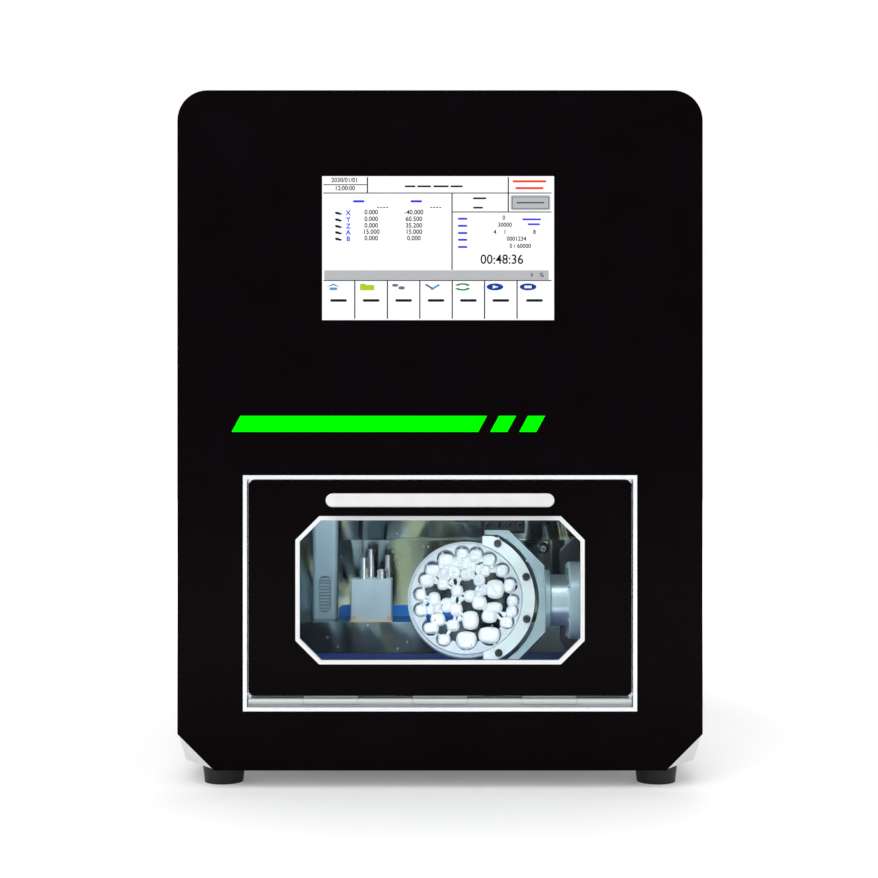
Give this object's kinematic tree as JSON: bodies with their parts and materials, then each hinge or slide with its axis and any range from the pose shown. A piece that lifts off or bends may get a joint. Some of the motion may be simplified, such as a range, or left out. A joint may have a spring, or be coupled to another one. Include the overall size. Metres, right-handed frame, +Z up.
{
  "type": "dental milling machine",
  "caption": "Benchtop five-axis dental milling machine with a drop-down windowed door, a gantry spindle and a tilting clamp for a round blank.",
  "frame": {"origin": "on the bench under the middle of the cabinet, counting the handle in front and the pipe behind", "axes": "+X to the machine's right as seen from the front, +Y to the back, +Z up"},
  "size_m": [0.41, 0.54, 0.546],
  "materials": {
    "black_gloss": "polished black",
    "white_paint": "pale powder coat",
    "grey_paint": "fine powder coat",
    "rubber": "matt",
    "green_film": "bright film",
    "screen": "lit screen",
    "dark_plastic": "matt",
    "bright_metal": "satin",
    "steel": "brushed",
    "ground_steel": "ground",
    "frame_metal": "milled",
    "blue_plastic": "moulded",
    "duct_blue": "satin",
    "lamp": "diffuser",
    "clear": "clear",
    "trim_white": "satin",
    "holder_blue": "anodised",
    "yoke_blue": "anodised",
    "blank": "milled resin",
    "black_metal": "blackened",
    "brass": "machined"
  },
  "bodies": {
    "cabinet": {"base_tray": "white_paint", "outer_cover": "white_paint", "rear_panel": "grey_paint", "front_fascia": "black_gloss", "accent_stripes": "green_film", "rubber_feet": "rubber", "foot_bolts": "steel", "display_glass": "screen", "display_module": "dark_plastic", "door_surround": "bright_metal", "hinge_rail": "bright_metal", "magnetic_catch": "dark_plastic", "side_frames": "frame_metal", "y_rails": "ground_steel", "chamber_tub": "steel", "chamber_rear_wall": "steel", "chamber_roof": "steel", "chip_tray": "blue_plastic", "wall_strip": "blue_plastic", "suction_duct": "duct_blue", "dust_pipe": "dark_plastic", "chamber_lamp": "lamp", "air_nozzle": "steel", "ioniser": "dark_plastic", "tool_block": "frame_metal", "milling_burs": "ground_steel", "a_axis_housing": "black_metal", "cabinet_motors": "dark_plastic", "fan_frame": "dark_plastic", "rear_sockets": "dark_plastic", "electronics": "frame_metal"},
    "door": {"door_panel": "black_gloss", "window_trim": "trim_white", "window_pane": "clear", "door_handle": "trim_white", "door_seal": "rubber", "door_hinge_leaf": "bright_metal", "latch_plate": "steel"},
    "y_screw": {"y_screw": "ground_steel"},
    "gantry": {"gantry_beam": "frame_metal", "x_rails": "ground_steel", "x_motor": "dark_plastic"},
    "x_screw": {"x_screw": "ground_steel"},
    "saddle": {"x_saddle": "frame_metal", "z_rails": "ground_steel", "z_motor": "dark_plastic"},
    "z_screw": {"z_screw": "ground_steel"},
    "head": {"z_plate": "frame_metal", "spindle_clamp": "frame_metal", "spindle_housing": "steel"},
    "spindle": {"spindle_rotor": "black_metal"},
    "tilt_yoke": {"a_axis_flange": "steel", "yoke": "yoke_blue", "pivot_pins": "ground_steel"},
    "blank_carrier": {"blank_holder": "holder_blue", "clamp_ring": "holder_blue", "clamp_screws": "black_metal", "milled_blank": "blank"},
    "fan": {"fan_rotor": "dark_plastic"},
    "rocker": {"power_rocker": "dark_plastic"}
  },
  "joints": [
    {"name": "door_hinge", "type": "hinge", "parent": "cabinet", "child": "door", "pos_m": [0, -0.2474, 0.0687], "axis": [1, 0, 0], "range_deg": [0, 90]},
    {"name": "y_carriage", "type": "slide", "parent": "cabinet", "child": "gantry", "axis": [0, -1, 0], "range_m": [-0.043, 0.147]},
    {"name": "y_screw_turn", "type": "hinge", "parent": "cabinet", "child": "y_screw", "pos_m": [-0.184, 0, 0.285], "axis": [0, -1, 0], "continuous": true},
    {"name": "x_carriage", "type": "slide", "parent": "gantry", "child": "saddle", "axis": [-1, 0, 0], "range_m": [-0.05, 0.095]},
    {"name": "x_screw_turn", "type": "hinge", "parent": "gantry", "child": "x_screw", "pos_m": [0, 0.0325, 0.32], "axis": [-1, 0, 0], "continuous": true},
    {"name": "z_slide", "type": "slide", "parent": "saddle", "child": "head", "axis": [0, 0, 1], "range_m": [-0.05, 0.014]},
    {"name": "z_screw_turn", "type": "hinge", "parent": "saddle", "child": "z_screw", "pos_m": [0.0215, 0.0095, 0.33], "axis": [0, 0, 1], "continuous": true},
    {"name": "spindle_spin", "type": "hinge", "parent": "head", "child": "spindle", "pos_m": [0.0215, -0.035, 0.22], "axis": [0, 0, 1], "continuous": true},
    {"name": "a_axis", "type": "hinge", "parent": "cabinet", "child": "tilt_yoke", "pos_m": [0.022, -0.145, 0.138], "axis": [1, 0, 0], "range_deg": [-180, 180]},
    {"name": "b_axis", "type": "hinge", "parent": "tilt_yoke", "child": "blank_carrier", "pos_m": [0.05, -0.14355, 0.13761], "axis": [0, 0.2588, 0.9659], "range_deg": [-25, 25]},
    {"name": "fan_spin", "type": "hinge", "parent": "cabinet", "child": "fan", "pos_m": [0.11, 0.233, 0.44], "axis": [0, 1, 0], "continuous": true},
    {"name": "power_rocker_tilt", "type": "hinge", "parent": "cabinet", "child": "rocker", "pos_m": [0.13, 0.245, 0.118], "axis": [-1, 0, 0], "range_deg": [0, 16]}
  ],
  "couplings": [
    {"joint": "y_screw_turn", "follows": "y_carriage", "rad_per_m": 628.32},
    {"joint": "x_screw_turn", "follows": "x_carriage", "rad_per_m": 628.32},
    {"joint": "z_screw_turn", "follows": "z_slide", "rad_per_m": 628.32}
  ]
}
